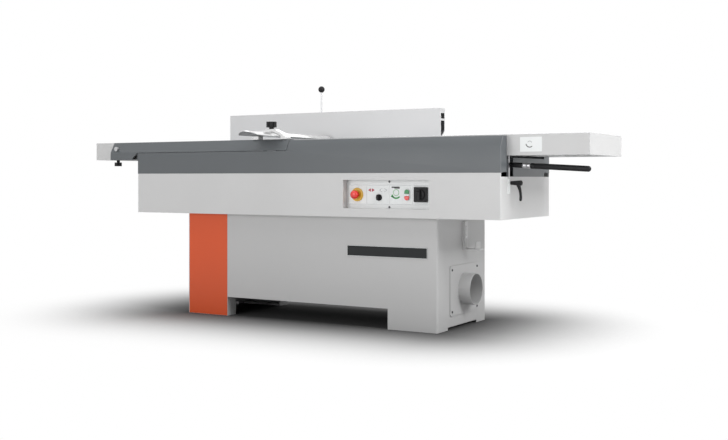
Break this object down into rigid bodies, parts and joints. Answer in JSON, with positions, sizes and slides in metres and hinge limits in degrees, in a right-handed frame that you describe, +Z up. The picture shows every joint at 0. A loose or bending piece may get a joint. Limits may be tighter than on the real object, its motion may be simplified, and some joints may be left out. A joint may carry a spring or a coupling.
{
  "type": "surface planer",
  "caption": "Floor-standing surface planer: sheet-metal cabinet and casing, long cast tables, tilting fence, bridge guard, lift lever and recessed controls.",
  "frame": {"origin": "floor level, at the middle of the whole outline seen from above", "axes": "+X along the tables towards the infeed end with the lift lever, +Y from the operator to the back, +Z up"},
  "size_m": [2.66, 1.253, 1.1295],
  "materials": {
    "light_paint": "satin powder coat",
    "cabinet_paint": "satin powder coat",
    "dark_paint": "satin powder coat",
    "orange_paint": "satin powder coat",
    "black_plastic": "fine grain",
    "white_plastic": "smooth",
    "red_plastic": "smooth",
    "yellow_plastic": "smooth",
    "green_plastic": "smooth",
    "steel": "turned",
    "cast_table": "ground top, painted sides",
    "cast_paint": "painted casting",
    "alloy": "anodised, satin",
    "rubber": "matt",
    "motor_paint": "satin"
  },
  "bodies": {
    "frame": {"base_front": "cabinet_paint", "base_rear": "cabinet_paint", "base_ends": "cabinet_paint", "accent_panel": "orange_paint", "blank_nameplate": "dark_paint", "dust_port": "cabinet_paint", "panel_screws": "steel", "hook_bracket": "light_paint", "hook_bolts": "steel", "casing_front": "light_paint", "casing_rear": "light_paint", "casing_ends": "light_paint", "casing_floor": "light_paint", "front_apron": "dark_paint", "rear_apron": "dark_paint", "end_covers": "dark_paint", "control_plate": "white_plastic", "control_labels": "white_plastic", "stop_collar": "yellow_plastic", "main_switch_body": "black_plastic", "outfeed_table": "cast_table", "depth_scale": "white_plastic", "arm_pivot_bolt": "steel", "guide_bracket": "cast_paint", "bearings": "steel", "drive_belt": "rubber", "motor": "motor_paint", "bed_frame": "dark_paint", "dust_chute": "light_paint"},
    "infeed": {"infeed_table": "cast_table", "table_label": "white_plastic", "depth_pointer": "steel"},
    "lever_shaft": {"lift_shaft_lever_side": "steel", "lift_lever": "black_plastic", "lever_grip": "black_plastic"},
    "second_shaft": {"lift_shaft_cutter_side": "steel"},
    "rod": {"lift_rod": "steel"},
    "lock": {"lock_lever": "black_plastic"},
    "arm": {"guard_arm": "dark_paint", "guard_holder": "alloy"},
    "arm_screw": {"arm_knob": "black_plastic"},
    "guard": {"guard_profile": "alloy"},
    "guard_screw": {"guard_knob": "black_plastic"},
    "carriage": {"fence_carriage": "cast_paint", "guide_bar": "steel", "fence_hinge_pin": "steel"},
    "fence": {"fence_profile": "alloy", "fence_brackets": "cast_paint"},
    "clamp": {"clamp_rod": "steel", "clamp_ball": "black_plastic"},
    "cutter": {"cutterblock": "steel", "knives": "steel", "gibs": "steel", "cutter_pulley": "steel"},
    "rotor": {"motor_pulley": "steel"},
    "stop": {"stop_mushroom": "red_plastic"},
    "selector": {"selector_knob": "black_plastic"},
    "start": {"start_button": "green_plastic"},
    "halt": {"halt_button": "red_plastic"},
    "switch": {"main_switch_knob": "black_plastic"}
  },
  "joints": [
    {"name": "infeed_lift", "type": "slide", "parent": "frame", "child": "infeed", "axis": [0, 0, 1], "range_m": [-0.007, 0.001]},
    {"name": "lift_lever_turn", "type": "hinge", "parent": "frame", "child": "lever_shaft", "pos_m": [0.73, -0.1735, 0.7276], "axis": [0, -1, 0], "range_deg": [-8.1, 1.2]},
    {"name": "second_shaft_turn", "type": "hinge", "parent": "frame", "child": "second_shaft", "pos_m": [0.31, -0.1735, 0.7276], "axis": [0, -1, 0], "range_deg": [-8.1, 1.2]},
    {"name": "lift_rod_slide", "type": "slide", "parent": "frame", "child": "rod", "axis": [1, 0, 0], "range_m": [-0.0085, 0.0013]},
    {"name": "lock_lever_turn", "type": "hinge", "parent": "frame", "child": "lock", "pos_m": [0.98, -0.3485, 0.638], "axis": [1, 0, 0], "range_deg": [-45, 45]},
    {"name": "guard_arm_lift", "type": "hinge", "parent": "frame", "child": "arm", "pos_m": [-1.126, -0.4255, 0.806], "axis": [0, -1, 0], "range_deg": [0, 4]},
    {"name": "arm_knob_turn", "type": "hinge", "parent": "arm", "child": "arm_screw", "pos_m": [-1.143, -0.4235, 0.73], "axis": [0, 0, 1], "range_deg": [-180, 180]},
    {"name": "guard_slide", "type": "slide", "parent": "arm", "child": "guard", "axis": [0, -1, 0], "range_m": [0, 0.33]},
    {"name": "guard_knob_turn", "type": "hinge", "parent": "arm", "child": "guard_screw", "pos_m": [-0.187, -0.4145, 0.9], "axis": [0, 0, 1], "range_deg": [-180, 180]},
    {"name": "fence_cross", "type": "slide", "parent": "frame", "child": "carriage", "axis": [0, -1, 0], "range_m": [0, 0.33]},
    {"name": "fence_tilt", "type": "hinge", "parent": "carriage", "child": "fence", "pos_m": [-0.159, 0.0725, 0.852], "axis": [-1, 0, 0], "range_deg": [0, 45]},
    {"name": "clamp_lever_turn", "type": "hinge", "parent": "fence", "child": "clamp", "pos_m": [-0.244, 0.1055, 0.93], "axis": [-1, 0, 0], "range_deg": [0, 35]},
    {"name": "cutter_spin", "type": "hinge", "parent": "frame", "child": "cutter", "pos_m": [-0.187, -0.1735, 0.78], "axis": [0, 1, 0], "continuous": true},
    {"name": "rotor_spin", "type": "hinge", "parent": "frame", "child": "rotor", "pos_m": [0.063, -0.1735, 0.587], "axis": [0, 1, 0], "continuous": true},
    {"name": "stop_push", "type": "slide", "parent": "frame", "child": "stop", "axis": [0, 1, 0], "range_m": [0, 0.006]},
    {"name": "selector_turn", "type": "hinge", "parent": "frame", "child": "selector", "pos_m": [0.395, -0.4215, 0.5735], "axis": [0, -1, 0], "range_deg": [-45, 45]},
    {"name": "start_push", "type": "slide", "parent": "frame", "child": "start", "axis": [0, 1, 0], "range_m": [0, 0.003], "stiffness_N_per_m": 400},
    {"name": "halt_push", "type": "slide", "parent": "frame", "child": "halt", "axis": [0, 1, 0], "range_m": [0, 0.003], "stiffness_N_per_m": 400},
    {"name": "main_switch_turn", "type": "hinge", "parent": "frame", "child": "switch", "pos_m": [0.601, -0.4215, 0.5875], "axis": [0, -1, 0], "range_deg": [-90, 0]}
  ],
  "couplings": [
    {"joint": "lift_lever_turn", "follows": "infeed_lift", "rad_per_m": 20},
    {"joint": "second_shaft_turn", "follows": "infeed_lift", "rad_per_m": 20},
    {"joint": "lift_rod_slide", "follows": "infeed_lift", "ratio": 1.2},
    {"joint": "guard_slide", "follows": "fence_cross", "ratio": 1},
    {"joint": "rotor_spin", "follows": "cutter_spin", "ratio": 0.61538}
  ]
}
